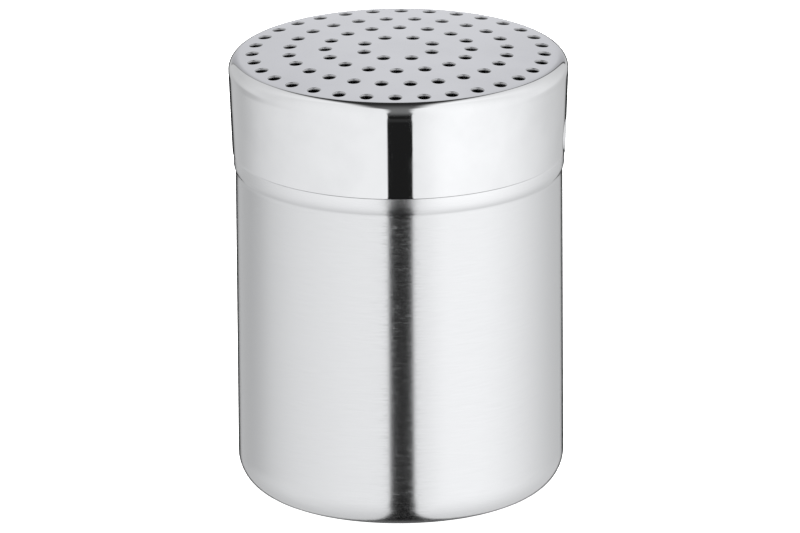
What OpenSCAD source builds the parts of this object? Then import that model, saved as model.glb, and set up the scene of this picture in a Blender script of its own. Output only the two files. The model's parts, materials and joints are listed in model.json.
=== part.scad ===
// Sugar shaker: a drawn steel can and a perforated slip-over lid with a two-dimple bayonet lock.
// Millimetres, +Z up, origin at the centre of the base. The lid stands on the can's bead with its
// dimples at the foot of the open channels, so it can be lifted straight off.

/* [Can] */
// Outside diameter of the can's straight wall
body_d = 68.2; // [56:0.2:90]
// Thickness of the can's sheet
can_t = 0.5; // [0.4:0.05:0.7]
// Outside radius of the rounded base corner
base_corner_r = 7.3; // [4:0.1:12]
// Height from the base to the foot of the bead
wall_h = 69.3; // [45:0.1:110]
// Height of the bead that the lid stands on
bead_h = 3.5; // [3:0.1:4]
// How far the bead stands out from the wall
bead_out = 0.4; // [0.3:0.05:0.6]
// Height over which the bead swells out from the wall
swell_h = 1.7; // [1.2:0.1:2.4]
// Rounding of the bead's upper edge
bead_edge_r = 0.3; // [0.15:0.05:0.4]
// How far the neck steps in from the wall
neck_in = 0.2; // [0.1:0.05:0.4]
// Room between the neck's rim and the lid's top, level with its corner
rim_gap = 3; // [2.6:0.1:6]
// Width of the flat ring that the can stands on
foot_w = 4; // [2:0.1:8]
// How far the panel inside that ring is raised from the table
panel_up = 0.8; // [0.4:0.1:1.6]

/* [Lid] */
// Thickness of the lid's sheet
lid_t = 0.5; // [0.4:0.05:0.7]
// Height of the lid from its mouth to the centre of its top
lid_h = 22; // [21.6:0.2:30]
// How much further out the skirt is at its top than at its mouth
skirt_flare = 0.8; // [0.3:0.05:1.5]
// Outside radius of the rounding between skirt and top
lid_corner_r = 2.9; // [1.5:0.1:4]
// Rise of the domed top above the sharp corner of top and skirt
dome_rise = 1.9; // [1:0.1:3]
// Gap all round between the lid's mouth and the neck
mouth_gap = 0.3; // [0.2:0.05:0.4]
// Gap between the lid's mouth and the bead when the lid is down
seat_gap = 0.2; // [0.1:0.05:0.4]

/* [Holes] */
// Diameter of a sprinkling hole
hole_d = 2.4; // [1.2:0.1:3]
// Number of rings of holes
ring_count = 4; // [2:1:5]
// Holes in the first ring, and holes that each further ring adds
ring_step = 8; // [5:1:9]
// Plain metal between the outer ring's hole centres and the corner
rim_land = 2.1; // [1.8:0.1:4]
// Turn of the hole pattern from the dimples, in degrees
pattern_turn = 5; // [0:0.5:45]

/* [Bayonet lock] */
// Number of dimples in the skirt
dimple_count = 2; // [2:1:4]
// Width of a dimple at the skirt's outside
dimple_d = 6.8; // [5:0.1:7]
// Depth of a dimple
dimple_depth = 1.25; // [1.1:0.05:1.5]
// Height of the dimples' centres above the lid's mouth
dimple_up = 3.9; // [3.7:0.1:8]
// Clearance between a dimple and the open leg of its channel
open_gap = 0.25; // [0.2:0.05:0.3]
// Clearance between a dimple and the sideways leg, which holds it more closely
lock_gap = 0.1; // [0.05:0.05:0.15]
// Clearance between a dimple and the pockets at the foot and at the locked end
pocket_gap = 0.35; // [0.35:0.05:0.5]
// Turn that takes a dimple from the open foot to the locked end of its channel, in degrees
lock_turn = 25; // [15:1:40]

/* [Hidden] */
$fn = 180;
// Steps in the arc of a rounded corner, of the bead's swell and of the bead's edge
corner_steps = 12;
swell_steps = 6;
edge_steps = 4;
// Overshoot that takes a cut clear of the face it opens
cut = 1;

// Can
body_r = body_d / 2;
panel_r = body_r - base_corner_r - foot_w - panel_up;
bead_r = body_r + bead_out;
ledge_z = wall_h + bead_h;
neck_r = body_r - neck_in;
// Radius of the arc that swells from the wall to the bead's straight face
swell_r = (swell_h * swell_h + bead_out * bead_out) / (2 * bead_out);

// Lid
mouth_z = ledge_z + seat_gap;
mouth_r = neck_r + mouth_gap + lid_t;
crown_z = mouth_z + lid_h;
rim_z = crown_z - dome_rise - lid_t - rim_gap;
corner_reach = mouth_r + skirt_flare;
dome_r = (corner_reach * corner_reach + dome_rise * dome_rise) / (2 * dome_rise);
dome_centre = [0, crown_z - dome_r];
skirt_angle = atan(skirt_flare / (lid_h - dome_rise));
skirt_up = [sin(skirt_angle), cos(skirt_angle)];
skirt_out = [cos(skirt_angle), -sin(skirt_angle)];
// Centre of the corner's rounding, which touches both the skirt and the dome
corner_start = [mouth_r, mouth_z] - lid_corner_r * skirt_out - dome_centre;
corner_along = corner_start * skirt_up;
corner_rest = corner_start * corner_start - pow(dome_r - lid_corner_r, 2);
corner_climb = sqrt(corner_along * corner_along - corner_rest) - corner_along;
corner_centre = dome_centre + corner_start + corner_climb * skirt_up;
corner_tilt = atan2(corner_centre[1] - dome_centre[1], corner_centre[0]);

// Holes
ring_pitch = (corner_centre[0] - rim_land) / ring_count;

// Bayonet lock
dimple_z = mouth_z + dimple_up;
dimple_r = (pow(dimple_d / 2, 2) + dimple_depth * dimple_depth) / (2 * dimple_depth);
skirt_r_at_dimple = mouth_r + dimple_up * tan(skirt_angle);
dimple_reach = skirt_r_at_dimple - dimple_depth + dimple_r;
bump_r = dimple_r + lid_t;

// Points along an arc, both ends included
function arc(centre, r, from, to, steps) =
    [for (i = [0 : steps]) let (a = from + (to - from) * i / steps) centre + r * [cos(a), sin(a)]];

// Points of the bead: a swelling arc, a straight face, then a rounded or sharp edge onto a flat ledge
function bead_points(sink) =
    let (
        edge_r = max(bead_edge_r - sink, 0),
        swell_angle = acos((swell_r - bead_out - sink) / (swell_r - sink)),
        swell_centre = [bead_r - swell_r, wall_h + swell_h],
        edge_centre = [bead_r - bead_edge_r, ledge_z - bead_edge_r]
    )
    concat(
        arc(swell_centre, swell_r - sink, -swell_angle, 0, swell_steps),
        edge_r > 0 ? arc(edge_centre, edge_r, 0, 90, edge_steps) : [[bead_r - sink, ledge_z - sink]]
    );

// Half outline of the can's outside, or of its inside when sunk by the sheet's thickness
function can_points(sink, top) =
    let (step_shift = sink * tan(45 / 2))
    concat(
        [[0, panel_up + sink], [panel_r + step_shift, panel_up + sink], [panel_r + panel_up + step_shift, sink]],
        arc([body_r - base_corner_r, base_corner_r], base_corner_r - sink, -90, 0, corner_steps),
        bead_points(sink),
        [[neck_r - sink, ledge_z - sink], [neck_r - sink, top], [0, top]]
    );

// Points of the domed top from its corner to its centre, with one step between each two rings of holes
function dome_points(sink) = [
    for (ring = [ring_count - 1 : -1 : 0])
        let (a = asin((ring + 1 / 2) * ring_pitch / dome_r)) dome_centre + (dome_r - sink) * [sin(a), cos(a)]
];

// Half outline of the lid's outside, or of its inside when sunk by the sheet's thickness
function lid_points(sink, bottom) =
    let (
        round_r = lid_corner_r - sink,
        skirt_end = corner_centre + round_r * skirt_out,
        bottom_r = skirt_end[0] - (skirt_end[1] - bottom) * tan(skirt_angle)
    )
    concat(
        [[0, bottom], [bottom_r, bottom]],
        arc(corner_centre, round_r, -skirt_angle, corner_tilt, corner_steps),
        dome_points(sink),
        [[0, crown_z - sink]]
    );

// Solid of revolution of a half outline, whose seam lies between two dimples
module revolved(points) {
    rotate([0, 0, 90 / dimple_count]) rotate_extrude() polygon(points);
}

// Places its children once at each dimple round the axis
module at_dimples() {
    for (i = [0 : dimple_count - 1])
        rotate([0, 0, i * 360 / dimple_count]) children();
}

// Ball of a press tool at a dimple's place, with its pole along the press stroke
module press_ball(r) {
    translate([dimple_reach, 0, dimple_z]) rotate([0, 90, 0]) sphere(r);
}

// One L-shaped channel: down from the rim, then sideways to the pocket that holds the locked dimple
module channel(wall) {
    translate([dimple_reach, 0, dimple_z])
        cylinder(r = bump_r + open_gap + wall, h = rim_z + 2 * cut - dimple_z);
    press_ball(bump_r + pocket_gap + wall);
    rotate([0, 0, -lock_turn]) {
        translate([0, 0, dimple_z]) rotate_extrude(angle = lock_turn)
            translate([dimple_reach, 0]) circle(bump_r + lock_gap + wall);
        press_ball(bump_r + pocket_gap + wall);
    }
}

// Drawn can with its bead, and the channels pressed into the neck
module can_body() {
    color("gainsboro") difference() {
        revolved(can_points(0, rim_z));
        difference() {
            revolved(can_points(can_t, rim_z + cut));
            at_dimples() channel(can_t);
        }
        at_dimples() channel(0);
    }
}

// All sprinkling holes: equally spaced rings, with every other ring turned by half a step
module holes() {
    for (ring = [1 : ring_count]) {
        hole_count = ring * ring_step;
        for (i = [1 : hole_count])
            rotate([0, 0, pattern_turn + (i + ring % 2 / 2) * 360 / hole_count])
                translate([ring * ring_pitch, 0, crown_z - lid_h / 2]) cylinder(d = hole_d, h = lid_h / 2 + cut);
    }
}

// Drawn lid with its dimples and holes
module perforated_lid() {
    color("silver") difference() {
        revolved(lid_points(0, mouth_z));
        difference() {
            revolved(lid_points(lid_t, mouth_z - cut));
            at_dimples() press_ball(bump_r);
        }
        at_dimples() press_ball(dimple_r);
        holes();
    }
}

can_body();
perforated_lid();
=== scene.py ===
"""Looks of a steel sugar shaker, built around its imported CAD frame.

Two pieces replace the CAD nodes: the satin can and the polished, perforated lid. Both are drawn from
thin sheet, so each is one closed skin: an outside, a rounded sheet edge and an inside.
"""

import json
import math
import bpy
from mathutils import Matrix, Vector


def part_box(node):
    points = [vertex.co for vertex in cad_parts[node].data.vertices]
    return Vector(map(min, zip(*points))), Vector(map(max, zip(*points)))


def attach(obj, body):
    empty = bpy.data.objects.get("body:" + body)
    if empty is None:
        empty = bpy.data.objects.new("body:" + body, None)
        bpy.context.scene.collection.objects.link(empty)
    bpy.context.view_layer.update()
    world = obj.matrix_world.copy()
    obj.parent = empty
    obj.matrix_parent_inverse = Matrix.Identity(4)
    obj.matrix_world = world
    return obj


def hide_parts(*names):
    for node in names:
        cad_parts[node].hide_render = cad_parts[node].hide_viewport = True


bl_info = {
    "name": "Steel Sugar Shaker",
    "version": (1, 0, 0),
    "blender": (4, 5, 0),
    "location": "View3D > Sidebar > Shaker",
    "description": "Builds a drawn steel can, its perforated bayonet lid and a small studio",
    "category": "Add Mesh",
}

from collections import namedtuple

import bmesh
import bpy
import numpy as np
from bpy.props import FloatProperty, FloatVectorProperty, IntProperty, PointerProperty
from mathutils import Quaternion, Vector

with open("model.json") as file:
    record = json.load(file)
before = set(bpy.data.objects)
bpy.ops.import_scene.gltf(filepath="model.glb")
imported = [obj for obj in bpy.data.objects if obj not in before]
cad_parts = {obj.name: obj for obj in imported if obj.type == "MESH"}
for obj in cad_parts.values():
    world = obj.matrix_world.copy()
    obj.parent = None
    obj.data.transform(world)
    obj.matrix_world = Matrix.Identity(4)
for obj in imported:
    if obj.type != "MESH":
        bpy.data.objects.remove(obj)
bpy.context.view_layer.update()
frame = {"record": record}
CAN_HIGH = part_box("can_body")[1]
LID_LOW, LID_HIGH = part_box("perforated_lid")
MOUNTS = {mount["name"]: mount for mount in frame["record"]["mounts"]}
SLOTS = {slot["slot"]: slot for slot in frame["record"]["materials"]}

MM = 0.001

# A smooth step, from start at low to end at high
Ramp = namedtuple("Ramp", ("low", "high", "start", "end"), defaults=(0.0, 1.0))

# Columns round each piece, and the spacing of rows where the sheet is pressed and where it is plain
CAN_COLUMNS = 256
LID_COLUMNS = 384
ROW_STEP = 0.5 * MM
PLAIN_STEP = 1 * MM
# Steps in an arc, which are wider where its radius is small
ARC_STEP = math.radians(7.5)
SMALL_ARC_STEP = math.radians(15)
SMALL_R = 0.5 * MM
# Steps along the side of a hole's cell, over the top to the hole, and round its lip
SIDE_STEPS = 12
TOP_STEPS = 2
LIP_STEPS = 5
# Shares of the way from a hole's lower edge to its cell's border, on the underside
UNDERSIDE_SHARES = (0, 0.15, 1)
# Shares of the plain centre's radius at which the top has a ring of points
CENTRE_SHARES = (1, 0.7, 0.4, 0.1)
# Reach of the ring of points that keeps the top plain round a hole, in roundings of its lip
HOLD_REACH = 1.4
# Slope of the step between the foot ring and the panel, which is as wide as it is high
STEP_SLOPE = math.radians(45)
# Share of the bead's swelling arc that is left beside the rounding of its crease
SWELL_SHARE = 0.95
# Share by which the columns draw together at a dimple or a channel
CROWDING = 0.5
# Points nearer than this are one point
WELD = 0.0001 * MM
# Depth that stands for a place where a press tool doesn't reach the sheet
CLEAR = -1.0

# Noise in the steel: scale per metre, detail, and stretch along each axis
BRUSH_GRAIN = (220, 3, (1, 1, 40))
SCRATCH_GRAIN = (600, 2, (1, 1, 8))
HAZE_GRAIN = (90, 4, (1, 1, 1))
BRUSH_STREAK = Ramp(0.3, 0.7)
SCRATCH_SHARE = Ramp(0.55, 0.75)
HAZE_SHARE = Ramp(0.35, 0.75)
# Relief of the brush lines, and the quarter turn that stretches highlights across them
BRUSH_DEPTH = 0.02 * MM
BRUSH_STRENGTH = 0.05
ACROSS_BRUSH = 0.25
# How far the painted shade in the crease begins below the bead's foot, and where it starts and ends to fade
# above it
CREASE_SHADE_BELOW = 0.5 * MM
CREASE_SHADE_FADE = (0.1 * MM, 2 * MM)
# Height over which the bead gets a painted highlight, lighter upwards, and over which that ends above its
# ledge
BEAD_HIGHLIGHT_RISE = 3.4 * MM
BEAD_HIGHLIGHT_FADE = 0.5 * MM

# How far the floor lies below the base, so that the two don't meet
FLOOR_DROP = 0.1 * MM

# Light tent. Directions have a part to the right of the camera, a part away from it and a part upwards,
# and a spread, the turn from the camera's side towards the back. Levels are brightness.
# How far the slit's middle lies to the right, and the change from the left wall to the right one
SLIT_OFFSET = 0.012
SLIT_MIDDLE = Ramp(-0.01, 0.01)
# Upward parts that the lid's leaning skirt and the can's upright wall mirror
LID_TO_CAN = (-0.345, -0.315)
# Right wall
RIGHT_SPREAD = (math.radians(50), math.radians(165))
RIGHT_START = 1.26
RIGHT_END = Ramp(*LID_TO_CAN, 0.63, 0.59)
RIGHT_BY_SLIT = Ramp(math.radians(8), math.radians(35), 0.84, 1.0)
# Left wall, which falls off towards the back and has a dip that only the can mirrors
LEFT_WALL = Ramp(math.radians(20), math.radians(110), 1.10, 0.90)
LEFT_FALL_FROM = Ramp(*LID_TO_CAN, math.radians(85), math.radians(68))
LEFT_FALL_TO = math.radians(150)
LEFT_FALL_LEVEL = 0.63
DIP_BEGIN = Ramp(math.radians(98), math.radians(122))
DIP_END = Ramp(math.radians(128), math.radians(150), 1.0, 0.0)
DIP_DEPTH = Ramp(*LID_TO_CAN, 0.0, 0.14)
DIP_TOP = Ramp(-0.25, -0.12, 1.0, 0.0)
# Even levels overhead and below, to which the walls give way as the upward part's square nears a limit
EVEN_LEFT = 1.05
EVEN_RIGHT = 1.15
EVEN_LIMIT = 1.08
EVEN_POWER = 0.75
# Brighter upper part of the walls towards the back, and the darker light from below by steepness
UPPER_LIFT = Ramp(-0.25, 0.0, 0.0, 0.16)
UPPER_SPREAD = Ramp(math.radians(90), math.radians(120))
LOWER_SHADE = Ramp(math.radians(-100), math.radians(-25), 0.79, 1.0)
# Half width of the slit, which narrows upwards and below, and the blur of its edges
SLIT_HALF = Ramp(0.4, 0.75, 0.139, 0.11)
SLIT_BELOW = Ramp(-0.95, -0.6, 0.77, 1.0)
SLIT_BLUR = Ramp(0.3, 0.95, 0.06, 0.42)
# The slit in the roof: where it begins, its half width overhead and behind, and its lean to the left
ROOF_BEGIN = Ramp(0.0, 0.3)
OVERHEAD = Ramp(-0.45, -0.2)
OVERHEAD_HALF = Ramp(0.2, 0.7, 0.19, 0.22)
ROOF_LEAN = Ramp(-0.6, 0.0, 0.0, 0.042)
# Levels in the slit: the roof towards the camera and with height, then the ground
ROOF_LEVEL = Ramp(0.45, -0.6, 0.03, 0.21)
ROOF_HEIGHT = Ramp(0.0, 0.75, 0.07, 1.0)
GROUND_SPAN = (0.2, 0.9)
GROUND_NEAR = Ramp(-0.37, -0.33, 0.011, 0.036)
GROUND_FAR = 0.2
GROUND_BEGIN = Ramp(-0.1, -0.3)
# Dark spot straight behind the shaker, with a softer shade round it
SPOT_EDGE = Ramp(0.95, 0.957)
SPOT_TOP = Ramp(-0.16, -0.06, 1.0, 0.0)
SPOT_SHADE = Ramp(0.91, 0.995, 1.0, 0.4)
SPOT_LEVEL = 0.04
# Back wall and its frame, whose outline is rounded by a power of the width and the height
BACK_WIDTH = 0.4
BACK_HEIGHT = 0.7
BACK_POWER = 3.0
BEHIND = Ramp(0.3, 0.5)
ABOVE_GROUND = Ramp(-0.05, 0.01)
FRAME_EDGE = Ramp(0.9, 1.05, 1.0, 0.0)
FRAME_LEVEL = Ramp(-0.35, 0.1, 0.36, 0.12)
BACK_EDGE = Ramp(0.69, 0.82, 1.0, 0.0)
BACK_MIDDLE = Ramp(0.0, 0.1, 0.79, 0.72)
BACK_SIDES = Ramp(0.1, 0.36, 1.0, 0.66)
WALL_TINT = (0.985, 0.995, 1.0)
BACK_TINT = (0.95, 0.96, 1.0)


def length(name, description, millimetres):
    """A size of the shaker or its studio, given in millimetres and kept in metres."""
    return FloatProperty(
        name=name, description=description, default=millimetres * MM, unit="LENGTH", precision=5
    )


def angle(name, description, degrees):
    """An angle, given in degrees."""
    return FloatProperty(
        name=name, description=description, default=math.radians(degrees), subtype="ANGLE"
    )


def level(name, description, default):
    """A brightness or a shader value from 0 to 1."""
    return FloatProperty(
        name=name, description=description, default=default, min=0, max=1, subtype="FACTOR"
    )


def colour(name, description, default):
    """A colour in linear red, green and blue."""
    return FloatVectorProperty(
        name=name, description=description, default=default, min=0, max=1, size=3, subtype="COLOR"
    )


class CanSizes(bpy.types.PropertyGroup):
    """Sizes of the drawn can"""

    wall_r: length(
        "Wall radius", "Outside radius of the straight wall", MOUNTS["body_wall"]["dims"]["r_mm"]
    )
    sheet: length("Sheet", "Thickness of the can's sheet", 0.5)
    corner_r: length("Base corner", "Outside radius of the rounded base corner", 7.3)
    foot_w: length("Foot width", "Width of the flat ring that the can stands on", 4)
    panel_up: length("Panel rise", "How far the panel inside the foot ring is raised", 0.8)
    panel_edge_r: length("Panel rounding", "Rounding of the step between foot ring and panel", 1)
    wall_h: length("Wall height", "Height from the base to the foot of the bead", 69.3)
    bead_h: length("Bead height", "Height of the bead that the lid stands on", 3.6)
    bead_r: length("Bead radius", "Outside radius of the bead", CAN_HIGH.x / MM)
    swell_h: length("Bead swell", "Height over which the bead swells out from the wall", 1.5)
    crease_r: length("Bead crease", "Rounding of the crease below the bead", 0.1)
    bead_edge_r: length("Bead edge", "Rounding of the bead's upper edge", 0.15)
    neck_r: length("Neck radius", "Outside radius of the neck inside the lid", 33.9)
    neck_fillet_r: length("Neck fillet", "Rounding between the bead's ledge and the neck", 0.25)
    rim_z: length("Rim height", "Height of the neck's rim above the table", CAN_HIGH.z / MM)
    rim_edge_r: length("Rim edge", "Rounding of both edges of the neck's rim", 0.2)


class LidSizes(bpy.types.PropertyGroup):
    """Sizes of the drawn lid and its sprinkling holes"""

    sheet: length("Sheet", "Thickness of the lid's sheet", 0.5)
    mouth_z: length("Mouth height", "Height of the lid's mouth above the table", LID_LOW.z / MM)
    crown_z: length("Crown height", "Height of the centre of the top", LID_HIGH.z / MM)
    mouth_r: length("Mouth radius", "Outside radius of the skirt at its mouth", 34.7)
    mouth_edge_r: length("Mouth edge", "Rounding of both edges of the mouth", 0.1)
    flare: length("Flare", "How much further out the skirt is at its top", 0.8)
    corner_r: length("Corner", "Outside radius of the rounding between skirt and top", 2.9)
    dome_rise: length("Dome rise", "Rise of the top above its sharp corner with the skirt", 1.9)
    hole_d: length("Hole width", "Diameter of a sprinkling hole", 2.4)
    lip_r: length("Hole lip", "Rounding that the punch leaves at the top of a hole", 0.34)
    ring_count: IntProperty(name="Rings", description="Number of rings of holes", default=4)
    ring_step: IntProperty(
        name="Ring step", description="Holes in the first ring, and more in each further ring", default=8
    )
    rim_land: length("Rim land", "Plain metal between the outer ring's centres and the corner", 2.1)
    pattern_turn: angle("Pattern turn", "Turn of the hole pattern from the dimples", 5)


class LockSizes(bpy.types.PropertyGroup):
    """Sizes of the bayonet lock: dimples in the skirt and channels in the neck"""

    count: IntProperty(name="Dimples", description="Number of dimples in the skirt", default=2)
    width: length("Dimple width", "Width of a dimple at the skirt's outside", 6.8)
    depth: length("Dimple depth", "Depth of a dimple", 1.25)
    up: length("Dimple height", "Height of the dimples' centres above the mouth", 3.9)
    edge: length("Pressed edge", "Height over which the edge of a pressed form is eased", 0.3)
    open_gap: length("Open clearance", "Clearance of a dimple in the open leg", 0.25)
    lock_gap: length("Lock clearance", "Clearance of a dimple in the sideways leg", 0.1)
    pocket_gap: length("Pocket clearance", "Clearance of a dimple in the end pockets", 0.35)
    lock_turn: angle("Lock turn", "Turn from the open foot to the locked end of a channel", 25)


class SteelFinishes(bpy.types.PropertyGroup):
    """Colours and gloss of the two steel finishes"""

    satin: colour("Satin steel", "Colour of the brushed can", SLOTS["satin_steel"]["base_color"])
    satin_deep: colour("Satin grooves", "Colour in the brush lines", (0.705, 0.705, 0.715))
    satin_smooth: level("Satin, least roughness", "Roughness on top of the brush lines", 0.13)
    satin_rough: level("Satin, most roughness", "Roughness in the brush lines", 0.19)
    satin_scratch: level("Scratch roughness", "Roughness of the sparse deeper scratches", 0.26)
    # Painted highlight: a lighter colour on the bead that stands in for the bead's brighter reflection
    satin_highlight: colour(
        "Rubbed satin", "Colour of the bead, which the lid rubs bright", (0.79, 0.79, 0.8)
    )
    # Painted shade: a darker colour in the crease below the bead, where the bead's underside is shaded
    satin_crease_shade: colour(
        "Dull satin", "Colour in the crease that polishing doesn't reach", (0.66, 0.66, 0.67)
    )
    satin_scuffed: level("Scuffed roughness", "Roughness of the bead, which the lid scuffs", 0.24)
    satin_stretch: level("Satin stretch", "How far highlights stretch across the brush lines", 0.6)
    polished: colour("Polished steel", "Colour of the lid", SLOTS["polished_steel"]["base_color"])
    polished_deep: colour("Polished haze", "Colour where the polish is hazy", (0.74, 0.74, 0.75))
    polished_smooth: level("Polish, least roughness", "Roughness of clean polish", 0.03)
    polished_rough: level("Polish, most roughness", "Roughness of handled polish", 0.08)
    # The hole walls' colour is partly the sheared finish and partly painted shade inside the holes
    sheared: colour("Sheared steel", "Colour of the walls of the punched holes", (0.3, 0.3, 0.31))
    sheared_rough: level("Sheared roughness", "Roughness of the walls of the punched holes", 0.5)


class StudioSettings(bpy.types.PropertyGroup):
    """Camera, floor and light of the studio"""

    camera_azimuth: angle("Azimuth", "Turn of the camera round the shaker", 6.3)
    camera_elevation: angle("Elevation", "Height of the camera above the horizon", 18.2)
    camera_roll: angle("Roll", "Turn of the camera about its line of sight", -0.41)
    camera_distance: length("Distance", "Distance of the camera from its aim", 2673)
    camera_lens: FloatProperty(
        name="Lens", description="Focal length in millimetres", default=575.5, unit="CAMERA"
    )
    aim_z: length("Aim height", "Height of the point that the camera looks at", 47.05)
    aim_side: length("Aim offset", "How far that point lies right of the axis", 0.05)
    floor_size: length("Floor", "Width of the floor", 8000)
    floor_tone: colour("Floor tone", "Colour of the floor", (0.92, 0.92, 0.92))
    floor_glow: level("Floor glow", "Light that the floor gives from below, as a light table does", 0.82)
    backdrop_tone: colour("Backdrop tone", "Colour behind the floor", (0.94, 0.94, 0.94))
    lamp_size: length("Lamp size", "Width of the soft lamp overhead", 1600)
    lamp_height: length("Lamp height", "Height of the soft lamp overhead", 1500)
    lamp_power: FloatProperty(
        name="Lamp power", description="Power of the soft lamp in watts", default=30, unit="POWER"
    )


def arc_steps(turn, r):
    """Steps in an arc, fewer where its radius is small."""
    return max(2, math.ceil(turn / (ARC_STEP if r > SMALL_R else SMALL_ARC_STEP)))


def arc(centre, r, start, end):
    """Points along an arc of a half outline, both ends included."""
    turns = np.linspace(start, end, arc_steps(abs(end - start), r) + 1)
    return np.stack((centre[0] + r * np.cos(turns), centre[1] + r * np.sin(turns)), axis=1)


def unit(vector):
    """The vector's direction."""
    return vector / np.linalg.norm(vector)


def rounded(corners):
    """Half outline through corners of (radius, height, rounding), with an arc at each rounded corner."""
    line = [np.array(corners[0][:2])]
    for before, (r, z, rounding), after in zip(corners, corners[1:], corners[2:]):
        tip = np.array((r, z))
        back = unit(np.array(before[:2]) - tip)
        ahead = unit(np.array(after[:2]) - tip)
        half = math.acos(np.clip(back @ ahead, -1, 1)) / 2
        centre = tip + unit(back + ahead) * rounding / math.sin(half)
        start = tip + back * rounding / math.tan(half) - centre
        end = tip + ahead * rounding / math.tan(half) - centre
        turn = math.pi - 2 * half
        for share in np.linspace(0, 1, arc_steps(turn, rounding) + 1):
            sweep = start * math.sin((1 - share) * turn) + end * math.sin(share * turn)
            line.append(centre + sweep / math.sin(turn))
    line.append(np.array(corners[-1][:2]))
    return np.array(line)


def with_rows(line, low, high):
    """The same outline with further points, closest between two heights where the sheet is pressed."""
    rows = [line[0]]
    for point in line[1:]:
        gap = np.linalg.norm(point - rows[-1])
        if gap < WELD:
            continue
        pressed = low < (rows[-1][1] + point[1]) / 2 < high
        steps = math.ceil(gap / (ROW_STEP if pressed else PLAIN_STEP))
        rows.extend(np.linspace(rows[-1], point, steps + 1)[1:])
    return np.array(rows)


def with_share(line, shares):
    """Rows of (radius, height, share), where the share goes from 0 outside to 1 inside the sheet."""
    return np.column_stack((line, np.broadcast_to(shares, len(line))))


def sheet_edge(centre, sheet, rounding, start, end):
    """Rows round the cut end of a sheet, from its outside to its inside, with both edges rounded."""
    middle = (start + end) / 2
    out = np.array((math.cos(start), math.sin(start)))
    ahead = np.array((math.cos(middle), math.sin(middle)))
    reach = sheet / 2 - rounding
    first = arc(centre + reach * (ahead + out), rounding, start, middle)
    second = arc(centre + reach * (ahead - out), rounding, middle, end)
    line = np.concatenate((first, second))
    return with_share(line, 0.5 - (line - centre) @ out / sheet)


def eased(depth, edge):
    """Depth of a pressed form below its sheet: 0 beside it, with its edge eased over a small height."""
    share = np.clip(0.5 + depth / (2 * edge), 0, 1)
    return depth * share + edge * share * (1 - share)


def ball_depth(r, turn, z, ball_r, reach, ball_z):
    """How far a ball at turn 0, outside the shaker, reaches inside the radius r."""
    room = ball_r**2 - (z - ball_z) ** 2 - (reach * np.sin(turn)) ** 2
    met = (room > 0) & (np.cos(turn) > 0)
    return np.where(met, r - reach * np.cos(turn) + np.sqrt(np.maximum(room, 0)), CLEAR)


def wrapped(turn):
    """The same turn between minus and plus half a circle."""
    return (turn + math.pi) % math.tau - math.pi


class LidForm:
    """What follows from the lid's sizes: dome, skirt, corner, ring pitch and the dimples' press ball."""

    def __init__(self, lid, lock):
        reach = lid.mouth_r + lid.flare
        self.dome_r = (reach**2 + lid.dome_rise**2) / (2 * lid.dome_rise)
        self.dome_z = lid.crown_z - self.dome_r
        self.skirt_angle = math.atan(lid.flare / (lid.crown_z - lid.mouth_z - lid.dome_rise))
        up = np.array((math.sin(self.skirt_angle), math.cos(self.skirt_angle)))
        out = np.array((up[1], -up[0]))
        dome_centre = np.array((0, self.dome_z))
        start = np.array((lid.mouth_r, lid.mouth_z)) - lid.corner_r * out - dome_centre
        along = start @ up
        rest = start @ start - (self.dome_r - lid.corner_r) ** 2
        climb = math.sqrt(along**2 - rest) - along
        self.corner = dome_centre + start + climb * up
        self.corner_tilt = math.atan2(self.corner[1] - self.dome_z, self.corner[0])
        self.dome_end_r = self.dome_r * math.cos(self.corner_tilt)
        self.ring_pitch = (self.corner[0] - lid.rim_land) / lid.ring_count
        self.ball_r = ((lock.width / 2) ** 2 + lock.depth**2) / (2 * lock.depth)
        self.ball_z = lid.mouth_z + lock.up
        self.ball_reach = self.skirt_r(lid, self.ball_z) - lock.depth + self.ball_r

    def skirt_r(self, lid, z):
        """Outside radius of the skirt at a height."""
        return lid.mouth_r + (z - lid.mouth_z) * math.tan(self.skirt_angle)

    def dome_height(self, r, sink):
        """Height of the top at a radius, or of its underside when sunk by the sheet."""
        return self.dome_z + np.sqrt((self.dome_r - sink) ** 2 - r**2)

    def lifted(self, flat, sink, drop=0.0):
        """Flat points raised onto the top, or onto its underside when sunk by the sheet."""
        r = np.linalg.norm(flat, axis=1)
        return np.column_stack((flat, self.dome_height(r, sink) - drop))


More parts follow.
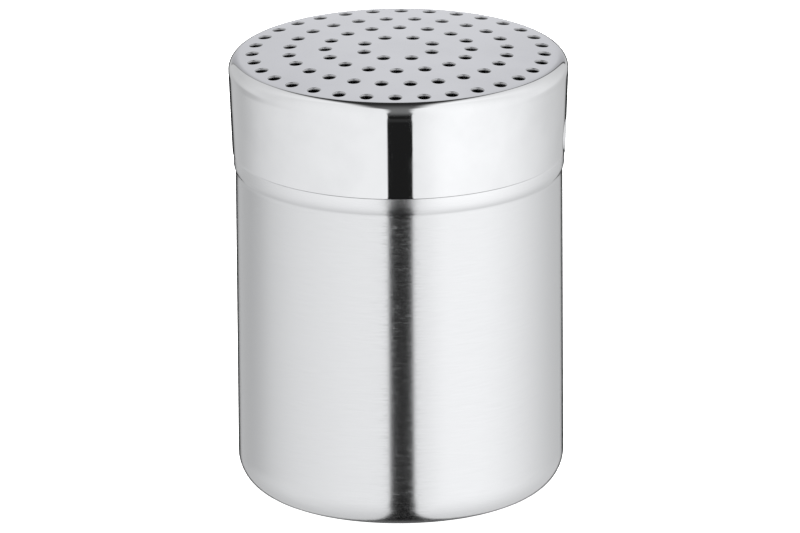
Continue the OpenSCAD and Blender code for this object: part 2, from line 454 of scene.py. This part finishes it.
class Skin:
    """Points and faces of one closed skin, gathered patch by patch and welded at the end."""

    def __init__(self):
        self.points = []
        self.faces = []
        self.sheared = []

    def add_loops(self, loops, sheared=None):
        """Adds a strip of quads between each two closed loops of equally many points.

        A second list says how far each loop belongs to the sheared wall of a hole.
        """
        start = len(self.points)
        count = len(loops[0])
        for loop, share in zip(loops, sheared or [0] * len(loops)):
            self.points.extend(map(tuple, loop))
            self.sheared.extend([share] * count)
        for row in range(len(loops) - 1):
            here = start + row * count
            for column in range(count):
                onward = (column + 1) % count
                self.faces.append(
                    (here + column, here + onward, here + count + onward, here + count + column)
                )

    def add_cap(self, loop, centre):
        """Closes a loop with triangles to its centre."""
        start = len(self.points)
        self.points.extend(map(tuple, loop))
        self.points.append(tuple(centre))
        self.sheared.extend([0] * (len(loop) + 1))
        hub = start + len(loop)
        for column in range(len(loop)):
            self.faces.append((start + column, start + (column + 1) % len(loop), hub))

    def make(self, name, material):
        """The welded, smoothly shaded object."""
        mesh = bpy.data.meshes.new(name)
        mesh.from_pydata(self.points, [], self.faces)
        mesh.attributes.new("sheared", "FLOAT", "POINT").data.foreach_set("value", self.sheared)
        welded = bmesh.new()
        welded.from_mesh(mesh)
        bmesh.ops.remove_doubles(welded, verts=welded.verts, dist=WELD)
        bmesh.ops.recalc_face_normals(welded, faces=welded.faces)
        open_edges = sum(not edge.is_manifold for edge in welded.edges)
        if open_edges:
            raise RuntimeError(f"the skin of {name} isn't closed: {open_edges} open edges")
        welded.to_mesh(mesh)
        welded.free()
        mesh.shade_smooth()
        mesh.materials.append(material)
        piece = bpy.data.objects.new(name, mesh)
        bpy.context.scene.collection.objects.link(piece)
        return piece


def ring(r, turn, z):
    """Points round the axis at given radii, turns and heights."""
    r, turn, z = np.broadcast_arrays(r, turn, z)
    return np.stack((r * np.cos(turn), r * np.sin(turn), z), axis=-1)


def can_outline(can, sink):
    """Half outline of the can's outside from its centre to the neck, or of its inside when sunk."""
    ledge_z = can.wall_h + can.bead_h
    step_shift = sink * math.tan(STEP_SLOPE / 2)
    panel_r = can.wall_r - can.corner_r - can.foot_w - can.panel_up
    bead_out = can.bead_r - can.wall_r
    crease_z = can.wall_h + sink * bead_out / can.swell_h
    swell_r = (can.swell_h**2 + bead_out**2) / (2 * bead_out)
    swell_tip = bead_out / math.tan(2 * math.atan(bead_out / can.swell_h))
    return rounded(
        [
            (0, can.panel_up + sink, 0),
            (panel_r + step_shift, can.panel_up + sink, can.panel_edge_r),
            (panel_r + can.panel_up + step_shift, sink, can.panel_edge_r),
            (can.wall_r - sink, sink, can.corner_r - sink),
            (can.wall_r - sink, crease_z, can.crease_r),
            (can.bead_r - sink, crease_z + swell_tip, SWELL_SHARE * swell_r - sink),
            (can.bead_r - sink, ledge_z - sink, can.bead_edge_r),
            (can.neck_r - sink, ledge_z - sink, can.neck_fillet_r),
            (can.neck_r - sink, can.rim_z - can.sheet / 2, 0),
        ]
    )


def channel_depth(can, lock, form, lid, r, turn, z, share):
    """Depth of the neck's channels below a row: open leg, sideways leg and the pockets at its ends."""
    dimple_r = form.ball_r + lid.sheet + share * can.sheet
    pitch = math.tau / lock.count
    depth = np.full(np.shape(turn), CLEAR)
    for dimple in range(lock.count):
        here = wrapped(turn - dimple * pitch)
        along = here - np.clip(here, -lock.lock_turn, 0)
        legs = (
            (here, np.minimum(z, form.ball_z), lock.open_gap),
            (along, z, lock.lock_gap),
            (here, z, lock.pocket_gap),
            (here + lock.lock_turn, z, lock.pocket_gap),
        )
        for place, height, gap in legs:
            leg = ball_depth(r, place, height, dimple_r + gap, form.ball_reach, form.ball_z)
            depth = np.maximum(depth, leg)
    return eased(depth, lock.edge)


def build_can(can, lid, lock, material):
    """The can: raised panel, foot ring, rounded corner, wall, bead, and a neck with its two channels."""
    form = LidForm(lid, lock)
    ledge_z = can.wall_h + can.bead_h
    outside = with_rows(can_outline(can, 0), ledge_z, can.rim_z)
    inside = with_rows(can_outline(can, can.sheet)[::-1], ledge_z, can.rim_z)
    rim_centre = np.array((can.neck_r, can.rim_z)) - can.sheet / 2
    rim = sheet_edge(rim_centre, can.sheet, can.rim_edge_r, 0, math.pi)
    rows = np.concatenate((with_share(outside, 0), rim, with_share(inside, 1)))
    columns = np.arange(CAN_COLUMNS) * math.tau / CAN_COLUMNS
    middle = -lock.lock_turn / 2
    turns = columns - CROWDING * np.sin(lock.count * (columns - middle)) / lock.count
    loops = []
    for r, z, share in rows[1:-1]:
        pressed = channel_depth(can, lock, form, lid, r, turns, z, share) if z > ledge_z else 0
        loops.append(ring(r - pressed, turns, z))
    skin = Skin()
    skin.add_loops(loops)
    skin.add_cap(loops[0], (0, 0, rows[0][1]))
    skin.add_cap(loops[-1], (0, 0, rows[-1][1]))
    return skin.make("satin_can", material)


def dimple_depth(lock, form, r, turn, z, swell):
    """Depth of the skirt's dimples below a row, with the press ball swollen by the sheet's share."""
    depth = np.full(np.shape(turn), CLEAR)
    for dimple in range(lock.count):
        here = wrapped(turn - dimple * math.tau / lock.count)
        ball = ball_depth(r, here, z, form.ball_r + swell, form.ball_reach, form.ball_z)
        depth = np.maximum(depth, ball)
    return eased(depth, lock.edge)


def lid_rows(lid, form, pressed_z):
    """Rows of the lid from its corner down the skirt, round the mouth's edge and up inside again."""
    lean = form.skirt_angle
    half = lid.sheet / 2
    mouth_z = lid.mouth_z + half
    mouth = np.array((form.skirt_r(lid, mouth_z) - half / math.cos(lean), mouth_z))
    edge = sheet_edge(mouth, lid.sheet, lid.mouth_edge_r, -lean, -lean - math.pi)
    middle = np.array(((form.skirt_r(lid, pressed_z), pressed_z),))
    middle_inside = middle - (lid.sheet / math.cos(lean), 0)
    corner = arc(form.corner, lid.corner_r, form.corner_tilt, -lean)
    corner_inside = arc(form.corner, lid.corner_r - lid.sheet, -lean, form.corner_tilt)
    outside = np.concatenate((corner, middle, edge[:1, :2]))
    inside = np.concatenate((edge[-1:, :2], middle_inside, corner_inside))
    return np.concatenate(
        (
            with_share(with_rows(outside, lid.mouth_z, pressed_z), 0),
            edge[1:-1],
            with_share(with_rows(inside, lid.mouth_z, pressed_z), 1),
        )
    )


def add_skirt(skin, lid, lock, form, columns):
    """Corner and skirt of the lid with the dimples, whose columns draw together towards the dimples."""
    crowd_z = form.ball_z + lock.width
    loops = []
    for r, z, share in lid_rows(lid, form, crowd_z):
        crowd = CROWDING * np.clip((form.corner[1] - z) / (form.corner[1] - crowd_z), 0, 1)
        turns = columns - crowd * np.sin(lock.count * columns) / lock.count
        pressed = dimple_depth(lock, form, r, turns, z, share * lid.sheet)
        loops.append(ring(r - pressed, turns, z))
    skin.add_loops(loops)


def cell_border(half_turn, inner_r, outer_r, round_steps):
    """Flat points round the border of a hole's cell at turn 0, which is a piece of a ring."""
    turns = np.linspace(-half_turn, half_turn, round_steps + 1)[:-1]
    side_turns = np.full(SIDE_STEPS, half_turn)
    side_r = np.linspace(inner_r, outer_r, SIDE_STEPS + 1)[:-1]
    inner = np.full(round_steps, inner_r)
    outer = np.full(round_steps, outer_r)
    turn = np.concatenate((turns, side_turns, -turns, -side_turns))
    r = np.concatenate((inner, side_r, outer, inner_r + outer_r - side_r))
    return np.stack((r * np.cos(turn), r * np.sin(turn)), axis=1)


def hole_loops(lid, form, hole_at, border):
    """Loops of one hole's cell, from its border on the top through the hole to its border below.

    The second list says how far each loop belongs to the hole's sheared wall.
    """
    centre = np.array((hole_at, 0))
    away = border - centre
    away /= np.linalg.norm(away, axis=1)[:, None]
    hole_r = lid.hole_d / 2
    hole = centre + away * hole_r
    hold = centre + away * (hole_r + HOLD_REACH * lid.lip_r)
    below = border * (1 - lid.sheet / form.dome_r)
    loops = []
    sheared = []
    for share in np.linspace(0, 1, TOP_STEPS + 1):
        loops.append(form.lifted(border + (hold - border) * share, 0))
        sheared.append(0)
    for bend in np.linspace(0, math.pi / 2, LIP_STEPS + 1):
        r = hole_r + lid.lip_r * (1 - math.sin(bend))
        loops.append(form.lifted(centre + away * r, 0, lid.lip_r * (1 - math.cos(bend))))
        sheared.append(math.sin(bend))
    for share in UNDERSIDE_SHARES:
        loops.append(form.lifted(hole + (below - hole) * share, lid.sheet))
        sheared.append(1 if share == 0 else 0)
    return loops, sheared


def add_top(skin, lid, form, columns):
    """Domed top of the lid: a plain centre, then rings of cells with one hole each."""
    first_r = form.ring_pitch / 2
    for sink in (0, lid.sheet):
        centre_r = first_r * (1 - sink / form.dome_r)
        loops = [
            ring(share * centre_r, columns, form.dome_height(share * centre_r, sink))
            for share in CENTRE_SHARES
        ]
        skin.add_loops(loops)
        skin.add_cap(loops[-1], (0, 0, lid.crown_z - sink))
    for number in range(1, lid.ring_count + 1):
        count = number * lid.ring_step
        inner_r = (number - 0.5) * form.ring_pitch
        outer_r = form.dome_end_r if number == lid.ring_count else inner_r + form.ring_pitch
        border = cell_border(math.pi / count, inner_r, outer_r, LID_COLUMNS // count)
        loops, sheared = hole_loops(lid, form, number * form.ring_pitch, border)
        for hole in range(count):
            turn = lid.pattern_turn + (hole + number % 2 / 2) * math.tau / count
            cos, sin = math.cos(turn), math.sin(turn)
            spin = np.array(((cos, sin, 0), (-sin, cos, 0), (0, 0, 1)))
            skin.add_loops([loop @ spin for loop in loops], sheared)


def build_lid(lid, lock, material):
    """The lid: domed top with its rings of holes, rounded corner, and a skirt with the dimples."""
    form = LidForm(lid, lock)
    columns = lid.pattern_turn + np.arange(LID_COLUMNS) * math.tau / LID_COLUMNS
    skin = Skin()
    add_top(skin, lid, form, columns)
    add_skirt(skin, lid, lock, form, columns)
    return skin.make("polished_lid", material)


def plug(tree, socket, value):
    """Links a socket to another one, or sets its own value."""
    if isinstance(value, bpy.types.NodeSocket):
        tree.links.new(value, socket)
    else:
        socket.default_value = value


def maths(tree, operation, *values):
    """Output of a math node on values or sockets."""
    node = tree.nodes.new("ShaderNodeMath")
    node.operation = operation
    for socket, value in zip(node.inputs, values):
        plug(tree, socket, value)
    return node.outputs[0]


def product(tree, first, *others):
    """Product of two or more values or sockets."""
    for other in others:
        first = maths(tree, "MULTIPLY", first, other)
    return first


def slope(tree, value, low, high, start=0.0, end=1.0):
    """Smooth step of a value, from start at low to end at high."""
    node = tree.nodes.new("ShaderNodeMapRange")
    node.interpolation_type = "SMOOTHSTEP"
    settings = {"Value": value, "From Min": low, "From Max": high, "To Min": start, "To Max": end}
    for name, setting in settings.items():
        plug(tree, node.inputs[name], setting)
    return node.outputs[0]


def blend(tree, share, first, second):
    """Mix of two colours by a share."""
    node = tree.nodes.new("ShaderNodeMix")
    node.data_type = "RGBA"
    # The node keeps sockets for every type of data, of which 6, 7 and output 2 are for colours
    plug(tree, node.inputs[0], share)
    plug(tree, node.inputs[6], first)
    plug(tree, node.inputs[7], second)
    return node.outputs[2]


def blend_value(tree, share, first, second):
    """Mix of two numbers by a share."""
    node = tree.nodes.new("ShaderNodeMix")
    # Sockets 2, 3 and output 0 are for numbers
    plug(tree, node.inputs[0], share)
    plug(tree, node.inputs[2], first)
    plug(tree, node.inputs[3], second)
    return node.outputs[0]


def opaque(tone):
    """A colour with full alpha."""
    return (*tone, 1)


def grain(tree, scale, detail, stretch):
    """Noise on the piece itself, with a scale per metre and a stretch along each axis."""
    place = tree.nodes.new("ShaderNodeTexCoord")
    mapping = tree.nodes.new("ShaderNodeMapping")
    mapping.inputs["Scale"].default_value = stretch
    noise = tree.nodes.new("ShaderNodeTexNoise")
    noise.inputs["Scale"].default_value = scale
    noise.inputs["Detail"].default_value = detail
    tree.links.new(place.outputs["Object"], mapping.inputs["Vector"])
    tree.links.new(mapping.outputs["Vector"], noise.inputs["Vector"])
    return noise.outputs["Fac"]


def height_above_base(tree):
    """Height of a point of the piece above the table."""
    place = tree.nodes.new("ShaderNodeTexCoord")
    parts = tree.nodes.new("ShaderNodeSeparateXYZ")
    tree.links.new(place.outputs["Object"], parts.inputs["Vector"])
    return parts.outputs[2]


def steel(name):
    """A new metal material, its node tree and its shader."""
    material = bpy.data.materials.new(name)
    material.use_nodes = True
    shader = material.node_tree.nodes["Principled BSDF"]
    shader.inputs["Metallic"].default_value = 1
    return material, material.node_tree, shader


def brush_round(tree, shader, stretch, mark):
    """Gives a shader brush lines that run round the axis: stretched highlights and a fine relief."""
    shader.inputs["Anisotropic"].default_value = stretch
    shader.inputs["Anisotropic Rotation"].default_value = ACROSS_BRUSH
    tangent = tree.nodes.new("ShaderNodeTangent")
    tangent.direction_type = "RADIAL"
    tangent.axis = "Z"
    plug(tree, shader.inputs["Tangent"], tangent.outputs[0])
    bump = tree.nodes.new("ShaderNodeBump")
    bump.inputs["Strength"].default_value = BRUSH_STRENGTH
    bump.inputs["Distance"].default_value = BRUSH_DEPTH
    plug(tree, bump.inputs["Height"], mark)
    plug(tree, shader.inputs["Normal"], bump.outputs["Normal"])


def satin_steel(finish, can):
    """Stainless steel brushed round the can: fine level lines that differ in tone, gloss and height.

    The bead has a painted highlight, a lighter colour, and the crease below the bead has painted shade, a
    darker colour.
    """
    material, tree, shader = steel("satin_steel")
    mark = grain(tree, *BRUSH_GRAIN)
    streak = slope(tree, mark, *BRUSH_STREAK)
    scratch = slope(tree, grain(tree, *SCRATCH_GRAIN), *SCRATCH_SHARE)
    z = height_above_base(tree)
    foot_z = can.wall_h
    ledge_z = can.wall_h + can.bead_h
    fade_from, fade_to = CREASE_SHADE_FADE
    # Mask of the painted shade in the crease below the bead
    crease = product(
        tree,
        slope(tree, z, foot_z - CREASE_SHADE_BELOW, foot_z),
        slope(tree, z, foot_z + fade_from, foot_z + fade_to, 1.0, 0.0),
    )
    # Mask of the bead's face, which gets a painted highlight in its colour and a scuffed roughness
    bead_highlight_and_scuff = product(
        tree,
        slope(tree, z, foot_z, foot_z + BEAD_HIGHLIGHT_RISE),
        slope(tree, z, ledge_z, ledge_z + BEAD_HIGHLIGHT_FADE, 1.0, 0.0),
    )
    tone = blend(tree, streak, opaque(finish.satin_deep), opaque(finish.satin))
    # The bead's painted highlight and then the crease's painted shade go into the colour
    tone = blend(tree, bead_highlight_and_scuff, tone, opaque(finish.satin_highlight))
    tone = blend(tree, crease, tone, opaque(finish.satin_crease_shade))
    roughness = blend_value(tree, streak, finish.satin_rough, finish.satin_smooth)
    roughness = blend_value(tree, scratch, roughness, finish.satin_scratch)
    roughness = blend_value(tree, bead_highlight_and_scuff, roughness, finish.satin_scuffed)
    plug(tree, shader.inputs["Base Color"], tone)
    plug(tree, shader.inputs["Roughness"], roughness)
    brush_round(tree, shader, finish.satin_stretch, mark)
    return material


def polished_steel(finish):
    """Mirror-polished stainless steel with a faint haze of handling, and rough and darker where holes are
    sheared, the darker colour partly painted shade inside the holes.
    """
    material, tree, shader = steel("polished_steel")
    haze = slope(tree, grain(tree, *HAZE_GRAIN), *HAZE_SHARE)
    wall = tree.nodes.new("ShaderNodeAttribute")
    wall.attribute_name = "sheared"
    sheared = wall.outputs["Fac"]
    tone = blend(tree, haze, opaque(finish.polished), opaque(finish.polished_deep))
    # Hole walls: sheared finish, darkened partly as painted shade inside the holes
    tone = blend(tree, sheared, tone, opaque(finish.sheared))
    roughness = blend_value(tree, haze, finish.polished_smooth, finish.polished_rough)
    roughness = blend_value(tree, sheared, roughness, finish.sheared_rough)
    plug(tree, shader.inputs["Base Color"], tone)
    plug(tree, shader.inputs["Roughness"], roughness)
    return material


def add_floor(studio):
    """A plain pale light table, which the steel doesn't mirror."""
    half = studio.floor_size / 2
    mesh = bpy.data.meshes.new("floor")
    corners = [(-half, -half, 0), (half, -half, 0), (half, half, 0), (-half, half, 0)]
    mesh.from_pydata(corners, [], [(0, 1, 2, 3)])
    material = bpy.data.materials.new("pale_floor")
    material.use_nodes = True
    shader = material.node_tree.nodes["Principled BSDF"]
    shader.inputs["Base Color"].default_value = opaque(studio.floor_tone)
    shader.inputs["Roughness"].default_value = 1
    shader.inputs["Specular IOR Level"].default_value = 0
    shader.inputs["Emission Color"].default_value = (1, 1, 1, 1)
    shader.inputs["Emission Strength"].default_value = studio.floor_glow
    mesh.materials.append(material)
    floor = bpy.data.objects.new("floor", mesh)
    floor.location.z = -FLOOR_DROP
    floor.visible_glossy = False
    bpy.context.scene.collection.objects.link(floor)


def add_lamp(studio):
    """A large soft lamp overhead for the floor, which the steel doesn't mirror."""
    light = bpy.data.lights.new("overhead_lamp", "AREA")
    light.size = studio.lamp_size
    light.energy = studio.lamp_power
    lamp = bpy.data.objects.new("overhead_lamp", light)
    lamp.location.z = studio.lamp_height
    lamp.visible_glossy = False
    bpy.context.scene.collection.objects.link(lamp)


def add_camera(studio):
    """The camera: a long lens, a little above the shaker and turned slightly about its line of sight."""
    azimuth, elevation = studio.camera_azimuth, studio.camera_elevation
    back = Vector(
        (
            math.sin(azimuth) * math.cos(elevation),
            -math.cos(azimuth) * math.cos(elevation),
            math.sin(elevation),
        )
    )
    right = Vector((math.cos(azimuth), math.sin(azimuth), 0))
    aim = Vector((0, 0, studio.aim_z)) + right * studio.aim_side
    data = bpy.data.cameras.new("camera")
    data.lens = studio.camera_lens
    data.clip_end = 2 * studio.camera_distance + studio.floor_size
    camera = bpy.data.objects.new("camera", data)
    camera.location = aim + back * studio.camera_distance
    camera.rotation_mode = "QUATERNION"
    level_turn = (-back).to_track_quat("-Z", "Y")
    camera.rotation_quaternion = level_turn @ Quaternion((0, 0, 1), studio.camera_roll)
    bpy.context.scene.collection.objects.link(camera)
    bpy.context.scene.camera = camera


def tent_direction(tree, studio):
    """Parts of a direction: to the right of the slit's middle, away from the camera, and upwards."""
    place = tree.nodes.new("ShaderNodeTexCoord")
    turn = tree.nodes.new("ShaderNodeVectorRotate")
    turn.rotation_type = "Z_AXIS"
    turn.inputs["Angle"].default_value = -studio.camera_azimuth
    parts = tree.nodes.new("ShaderNodeSeparateXYZ")
    tree.links.new(place.outputs["Generated"], turn.inputs["Vector"])
    tree.links.new(turn.outputs["Vector"], parts.inputs["Vector"])
    x, y, z = parts.outputs
    return maths(tree, "SUBTRACT", x, SLIT_OFFSET), y, z


def right_wall(tree, spread, z):
    """Light of the right wall."""
    far_level = slope(tree, z, *RIGHT_END)
    along = slope(tree, spread, *RIGHT_SPREAD, RIGHT_START, far_level)
    return product(tree, along, slope(tree, spread, *RIGHT_BY_SLIT))


def left_wall(tree, spread, z):
    """Light of the left wall."""
    fall_from = slope(tree, z, *LEFT_FALL_FROM)
    fall = slope(tree, spread, fall_from, LEFT_FALL_TO, 1.0, LEFT_FALL_LEVEL)
    dip = product(
        tree,
        slope(tree, spread, *DIP_BEGIN),
        slope(tree, spread, *DIP_END),
        slope(tree, z, *DIP_DEPTH),
        slope(tree, z, *DIP_TOP),
    )
    return product(tree, slope(tree, spread, *LEFT_WALL), fall, maths(tree, "SUBTRACT", 1.0, dip))


def wall_light(tree, x, y, z):
    """Light of both side walls, which turns into even levels overhead and below."""
    aside = maths(tree, "ABSOLUTE", x)
    spread = maths(tree, "ARCTAN2", aside, maths(tree, "MULTIPLY", y, -1.0))
    on_right = slope(tree, x, *SLIT_MIDDLE)
    walls = blend_value(tree, on_right, left_wall(tree, spread, z), right_wall(tree, spread, z))
    even = blend_value(tree, on_right, EVEN_LEFT, EVEN_RIGHT)
    height_left = maths(tree, "SUBTRACT", EVEN_LIMIT, maths(tree, "MULTIPLY", z, z))
    wall_share = maths(tree, "MINIMUM", maths(tree, "POWER", height_left, EVEN_POWER), 1.0)
    light = blend_value(tree, wall_share, even, walls)
    lift = product(tree, slope(tree, z, *UPPER_LIFT), slope(tree, spread, *UPPER_SPREAD))
    shade = slope(tree, maths(tree, "ARCSINE", z), *LOWER_SHADE)
    return product(tree, light, maths(tree, "ADD", 1.0, lift), shade)


def with_slit(tree, light, x, y, z):
    """The light with a dark slit that runs from the front over the roof and along the ground."""
    above = slope(tree, z, *ROOF_BEGIN)
    overhead = product(tree, above, slope(tree, y, *OVERHEAD))
    half = product(tree, slope(tree, z, *SLIT_HALF), slope(tree, z, *SLIT_BELOW))
    half = blend_value(tree, overhead, half, slope(tree, y, *OVERHEAD_HALF))
    lean = product(tree, above, slope(tree, y, *ROOF_LEAN))
    off_middle = maths(tree, "ABSOLUTE", maths(tree, "ADD", x, lean))
    past_edge = maths(tree, "DIVIDE", maths(tree, "SUBTRACT", off_middle, half), half)
    past_edge = maths(tree, "DIVIDE", past_edge, slope(tree, z, *SLIT_BLUR))
    roof = product(tree, slope(tree, y, *ROOF_LEVEL), slope(tree, z, *ROOF_HEIGHT))
    near_level = slope(tree, z, *GROUND_NEAR)
    ground = slope(tree, y, *GROUND_SPAN, near_level, GROUND_FAR)
    ground = product(tree, ground, slope(tree, z, *GROUND_BEGIN))
    slit = maths(tree, "MAXIMUM", roof, ground)
    return blend_value(tree, slope(tree, past_edge, -1.0, 1.0), slit, light)


def with_spot(tree, light, y, z, elevation):
    """The light with a dark spot straight behind the shaker, which draws its outline."""
    fallen = maths(tree, "MULTIPLY", z, -math.sin(elevation))
    facing = maths(tree, "MULTIPLY_ADD", y, math.cos(elevation), fallen)
    spot = product(tree, slope(tree, facing, *SPOT_EDGE), slope(tree, z, *SPOT_TOP))
    shaded = product(tree, light, slope(tree, facing, *SPOT_SHADE))
    return blend_value(tree, spot, shaded, SPOT_LEVEL)


def with_back(tree, light, x, y, z):
    """The light with a grey back wall in a dark frame, which the lid's top mirrors, and that wall's share."""
    aside = maths(tree, "ABSOLUTE", x)
    upward = maths(tree, "MAXIMUM", z, 0.0)
    reach = maths(
        tree,
        "ADD",
        maths(tree, "POWER", maths(tree, "DIVIDE", aside, BACK_WIDTH), BACK_POWER),
        maths(tree, "POWER", maths(tree, "DIVIDE", upward, BACK_HEIGHT), BACK_POWER),
    )
    behind = product(tree, slope(tree, y, *BEHIND), slope(tree, z, *ABOVE_GROUND))
    frame_share = product(tree, behind, slope(tree, reach, *FRAME_EDGE))
    back_share = product(tree, behind, slope(tree, reach, *BACK_EDGE))
    back = product(tree, slope(tree, aside, *BACK_MIDDLE), slope(tree, aside, *BACK_SIDES))
    light = blend_value(tree, frame_share, light, slope(tree, x, *FRAME_LEVEL))
    return blend_value(tree, back_share, light, back), back_share


def add_surround(studio):
    """Light tent: two bright side walls that leave a slit at the front, a grey back wall and a dark roof."""
    world = bpy.data.worlds.new("light_tent")
    world.use_nodes = True
    tree = world.node_tree
    x, y, z = tent_direction(tree, studio)
    light = wall_light(tree, x, y, z)
    light = with_slit(tree, light, x, y, z)
    light = with_spot(tree, light, y, z, studio.camera_elevation)
    light, back_share = with_back(tree, light, x, y, z)
    tone = blend(tree, back_share, opaque(WALL_TINT), opaque(BACK_TINT))
    # The camera itself sees a plain backdrop
    path = tree.nodes.new("ShaderNodeLightPath")
    seen = path.outputs["Is Camera Ray"]
    background = tree.nodes["Background"]
    plug(tree, background.inputs["Color"], blend(tree, seen, tone, opaque(studio.backdrop_tone)))
    plug(tree, background.inputs["Strength"], blend_value(tree, seen, light, 1.0))
    bpy.context.scene.world = world


class SHAKER_OT_add_can(bpy.types.Operator):
    """Add the satin can with its bead and the channels of its neck"""

    bl_idname = "shaker.add_can"
    bl_label = "Add Can"

    def execute(self, context):
        scene = context.scene
        material = satin_steel(scene.shaker_finishes, scene.shaker_can)
        can = build_can(scene.shaker_can, scene.shaker_lid, scene.shaker_lock, material)
        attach(can, "can")
        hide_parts("can_body")
        return {"FINISHED"}


class SHAKER_OT_add_lid(bpy.types.Operator):
    """Add the polished lid with its sprinkling holes and dimples"""

    bl_idname = "shaker.add_lid"
    bl_label = "Add Lid"

    def execute(self, context):
        scene = context.scene
        material = polished_steel(scene.shaker_finishes)
        lid = build_lid(scene.shaker_lid, scene.shaker_lock, material)
        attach(lid, "lid")
        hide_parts("perforated_lid")
        return {"FINISHED"}


class SHAKER_OT_add_studio(bpy.types.Operator):
    """Add the floor, the lamp, the light tent and the camera"""

    bl_idname = "shaker.add_studio"
    bl_label = "Add Studio"

    def execute(self, context):
        studio = context.scene.shaker_studio
        add_floor(studio)
        add_lamp(studio)
        add_surround(studio)
        add_camera(studio)
        context.scene.view_settings.view_transform = "Standard"
        return {"FINISHED"}


class VIEW3D_PT_shaker(bpy.types.Panel):
    """Sidebar panel with the shaker's operators and settings"""

    bl_label = "Sugar Shaker"
    bl_space_type = "VIEW_3D"
    bl_region_type = "UI"
    bl_category = "Shaker"

    def draw(self, context):
        layout = self.layout
        for operator in OPERATORS:
            layout.operator(operator.bl_idname)
        for settings in SETTINGS:
            box = layout.box()
            for name in SETTINGS[settings].__annotations__:
                box.prop(getattr(context.scene, settings), name)


OPERATORS = (SHAKER_OT_add_can, SHAKER_OT_add_lid, SHAKER_OT_add_studio)
SETTINGS = {
    "shaker_can": CanSizes,
    "shaker_lid": LidSizes,
    "shaker_lock": LockSizes,
    "shaker_finishes": SteelFinishes,
    "shaker_studio": StudioSettings,
}


def register():
    """Registers the classes and gives each scene its settings."""
    for settings, group in SETTINGS.items():
        bpy.utils.register_class(group)
        setattr(bpy.types.Scene, settings, PointerProperty(type=group))
    for shown in (*OPERATORS, VIEW3D_PT_shaker):
        bpy.utils.register_class(shown)


def unregister():
    """Takes the classes and settings away again."""
    for shown in (VIEW3D_PT_shaker, *reversed(OPERATORS)):
        bpy.utils.unregister_class(shown)
    for settings, group in SETTINGS.items():
        delattr(bpy.types.Scene, settings)
        bpy.utils.unregister_class(group)


def main():
    register()
    bpy.ops.shaker.add_can()
    bpy.ops.shaker.add_lid()
    bpy.ops.shaker.add_studio()


if __name__ == "__main__":
    main()
